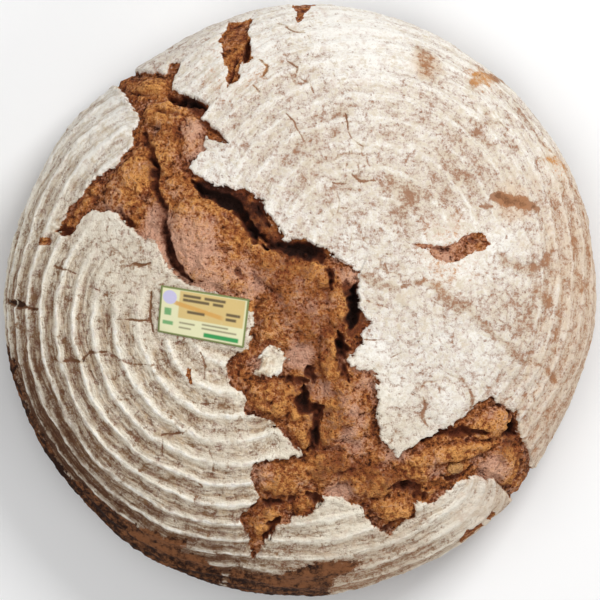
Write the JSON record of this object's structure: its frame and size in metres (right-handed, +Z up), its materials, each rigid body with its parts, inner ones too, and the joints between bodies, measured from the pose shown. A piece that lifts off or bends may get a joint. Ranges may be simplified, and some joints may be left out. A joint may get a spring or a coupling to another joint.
{
  "type": "walnut bread loaf",
  "caption": "Large round rye and walnut loaf, floured crust with basket rings and a wide torn split, small blank paper label, flat base to rest on.",
  "frame": {"origin": "centre of the loaf's bounding box, on the flat face that it rests on", "axes": "+Z up out of the top crust, +Y to the loaf's back as the label reads, +X to its right"},
  "size_m": [0.296, 0.2958, 0.1012],
  "materials": {
    "crust": "dry floured rye crust, torn open to brown crumb, matt",
    "label_paper": "printed paper, satin, fields of colour only",
    "walnut": "toasted walnut, slightly oily"
  },
  "bodies": {
    "root": {"loaf": "crust", "label": "label_paper", "walnut_piece": "walnut"}
  },
  "joints": []
}
